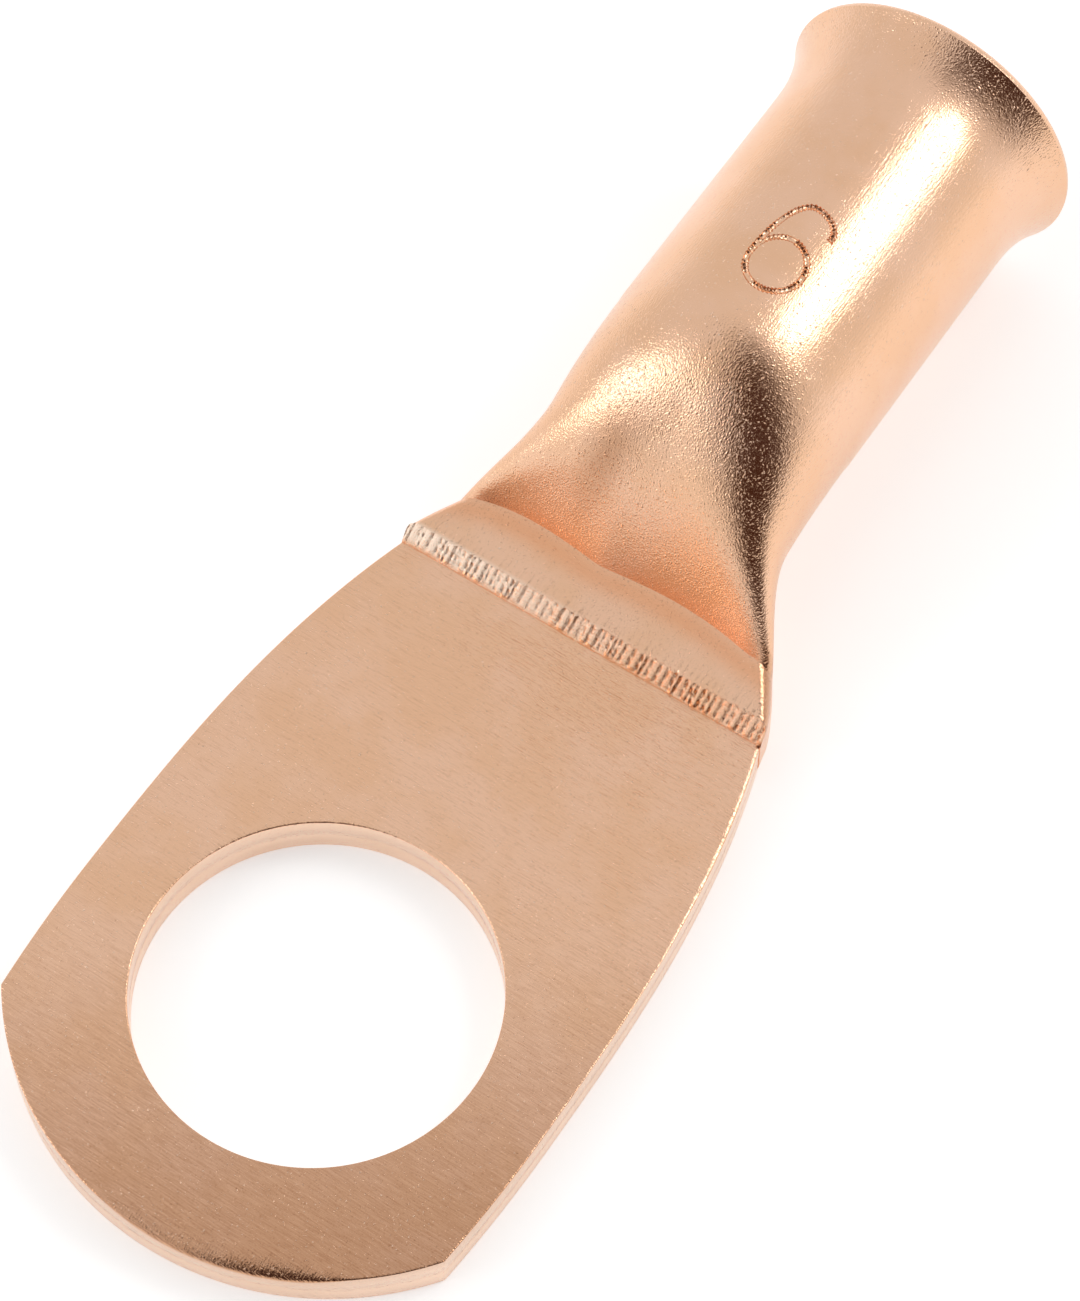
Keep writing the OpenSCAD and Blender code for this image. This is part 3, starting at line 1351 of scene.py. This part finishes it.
@dataclass
class Lug:
    """The whole lug: pressed tube and palm in one piece, with its numeral and its finish."""

    sharp_angle: float = 32.0
    finish: CopperFinish = field(default_factory=CopperFinish)

    def __post_init__(self) -> None:
        """Reads the sizes that the frame holds and plans the parts of the piece."""
        mounts = {mount["name"]: mount for mount in frame["record"]["mounts"]}
        low, high = (Vector(corner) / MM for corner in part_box("lug"))
        stud = mounts["stud_hole"]["dims"]
        bore = mounts["conductor_bore"]
        self.tube = PressedTube(bore_r=bore["dims"]["r_mm"], axis_z=bore["pos_m"][2] / MM,
                                palm_t=stud["length_mm"], mouth_x=high.x)
        self.palm = Palm(hole_r=stud["r_mm"], palm_t=stud["length_mm"], half_w=high.y, tip_len=-low.x,
                         neck_hw=self.tube.neck_hw, palm_len=self.tube.palm_len, seat=self.tube.seat)
        self.numeral = SizeNumeral(barrel_r=self.tube.barrel_r, axis_z=self.tube.axis_z)
        self.marks_and_light = LugMarksAndPaintedLight(self.tube)

    def build(self) -> bpy.types.Object:
        """Makes, joins, marks and dresses the lug.

        Returns:
            The finished piece, in metres.
        """
        lug = self.tube.build()
        log.info("tube: %d faces", len(lug.data.polygons))
        palm = self.palm.build()
        log.info("palm: %d faces", len(palm.data.polygons))
        combine(lug, palm, Joining.ADD)
        self.numeral.press_into(lug)
        lug.name = "copper_lug"
        mesh = lug.data
        mesh.name = "copper_lug"
        self.marks_and_light.write(mesh)
        mesh.transform(Matrix.Scale(MM, 4))
        mesh.shade_smooth()
        mesh.set_sharp_from_angle(angle=math.radians(self.sharp_angle))
        mesh.materials.clear()
        mesh.materials.append(self.finish.material())
        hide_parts("lug")
        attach(lug, "root")
        triangles = sum(len(face.vertices) - 2 for face in mesh.polygons)
        log.info("copper_lug: %d triangles", triangles)
        return lug


# ---------------------------------------------------------------- the studio


@dataclass(frozen=True)
class CameraRig:
    """A level camera that looks down on the lug from the tip's right. Millimetres and degrees."""

    target: tuple[float, float, float] = (11.6, 0.3, 3.0)
    heading: float = 33.7
    dip: float = 60.94
    roll: float = -0.2
    distance: float = 127.6
    lens: float = 125.0
    near: float = 0.01
    far: float = 20.0

    def build(self) -> None:
        """Makes the camera and hands it to the scene."""
        heading, dip = math.radians(self.heading), math.radians(self.dip)
        level = math.cos(dip)
        ahead = Vector((level * math.cos(heading), level * math.sin(heading), -math.sin(dip)))
        data = bpy.data.cameras.new("camera")
        data.lens, data.clip_start, data.clip_end = self.lens, self.near, self.far
        camera = bpy.data.objects.new("camera", data)
        place = Vector(self.target) - ahead * self.distance
        turn = ahead.to_track_quat("-Z", "Y").to_matrix().to_4x4()
        turn = turn @ Matrix.Rotation(math.radians(self.roll), 4, "Z")
        camera.matrix_world = Matrix.Translation(place * MM) @ turn
        bpy.context.scene.collection.objects.link(camera)
        bpy.context.scene.camera = camera
        log.info("camera: %.0f mm lens", self.lens)


@dataclass(frozen=True)
class Softbox:
    """A soft lamp, placed by its direction from a point that it aims at, in millimetres.

    Its distance, width and length are in metres, and its brightness is what a mirror shows of it.
    """

    name: str
    towards: tuple[float, float, float]
    aim: tuple[float, float, float]
    distance: float
    width: float
    length: float
    brightness: float

    def build(self) -> None:
        """Makes the lamp, with its width level."""
        data = bpy.data.lights.new(self.name, "AREA")
        data.shape = "RECTANGLE"
        data.size, data.size_y = self.width, self.length
        data.energy = self.brightness * math.pi * self.width * self.length
        lamp = bpy.data.objects.new(self.name, data)
        way = Vector(self.towards).normalized()
        lamp.location = Vector(self.aim) * MM + way * self.distance
        lamp.rotation_mode = "QUATERNION"
        lamp.rotation_quaternion = way.to_track_quat("Z", "Y")
        lamp.visible_camera = False
        bpy.context.scene.collection.objects.link(lamp)
        log.info("%s lamp: %.1f times white", self.name, self.brightness)


@dataclass(frozen=True)
class Studio:
    """Pale floor, a soft dome that is darker on the camera's side, and two softboxes. Metres."""

    floor_half: float = 1.5
    floor_cells: int = 8
    floor_gap: float = 0.00002
    floor_tone: Colour = (0.8, 0.8, 0.8, 1)
    floor_glow: float = 0.46
    horizon: Colour = (1.0, 1.0, 1.0, 1)
    zenith: Colour = (0.80, 0.80, 0.80, 1)
    horizon_height: float = 0.35
    shade: Colour = (0.055, 0.020, 0.010, 1)
    shade_left: Span = (-0.05, 0.08)
    shade_back: Span = (-0.25, 0.28)
    shade_low: Span = (0.03, 0.22)
    key: Softbox = Softbox("key", towards=(0.545, -0.447, 0.719), aim=(26.0, -1.75, 8.4),
                           distance=0.3, width=0.12, length=0.13, brightness=4.1)
    fill: Softbox = Softbox("fill", towards=(-0.644, 0.580, 0.500), aim=(17.0, 1.7, 6.0),
                            distance=0.3, width=0.11, length=0.11, brightness=3.0)

    def floor(self) -> None:
        """Makes the floor under the lug, seen as a bright sweep that keeps the shadow."""
        bm = bmesh.new()
        bmesh.ops.create_grid(bm, x_segments=self.floor_cells, y_segments=self.floor_cells,
                              size=self.floor_half)
        bmesh.ops.translate(bm, verts=bm.verts, vec=(0, 0, CAD_BOX[0][2] - self.floor_gap))
        floor = as_object(bm, "floor")
        made = bpy.data.materials.new("floor")
        tree = empty_tree(made)
        seen: Wire | float = 0.0
        for ray in SeenBy:
            seen = add_node(tree, "ShaderNodeLightPath", output=ray.value) + seen
        glow = add_node(tree, "ShaderNodeEmission", {}, {
            "Color": (1, 1, 1, 1), "Strength": seen * self.floor_glow})
        matt = add_node(tree, "ShaderNodeBsdfDiffuse", {}, {"Color": self.floor_tone})
        both = add_node(tree, "ShaderNodeAddShader", {}, {0: matt, 1: glow})
        finish_tree(both, "ShaderNodeOutputMaterial")
        floor.data.materials.append(made)

    def dome(self) -> None:
        """Makes the world: bright at the horizon, mid-toned above, dark on the camera's side."""
        world = bpy.data.worlds.new("studio")
        tree = empty_tree(world)
        way = add_node(tree, "ShaderNodeTexCoord", output="Generated")
        along, across, height = (add_node(tree, "ShaderNodeSeparateXYZ", {}, {0: way}, axis)
                                 for axis in "XYZ")
        stops = ((0.0, self.horizon), (self.horizon_height, self.zenith), (1.0, self.zenith))
        tone = add_node(tree, "ShaderNodeValToRGB", {"stops": stops}, {"Fac": height})
        shaded = (1 - across.between(*self.shade_left)) * (1 - along.between(*self.shade_back))
        tone = mix_colours(shaded * height.between(*self.shade_low), tone, self.shade)
        light = add_node(tree, "ShaderNodeBackground", {}, {"Color": tone, "Strength": 1.0})
        finish_tree(light, "ShaderNodeOutputWorld")
        bpy.context.scene.world = world

    def build(self) -> None:
        """Makes the floor, the dome and the lamps."""
        self.floor()
        self.dome()
        self.key.build()
        self.fill.build()
        bpy.context.scene.view_settings.view_transform = "Standard"
        log.info("studio: floor, dome and lamps")


def main() -> None:
    """Builds the camera, the lug and the studio."""
    logging.basicConfig(level=logging.INFO, format="%(name)s: %(message)s")
    CameraRig().build()
    Lug().build()
    Studio().build()


if __name__ == "__main__":
    main()
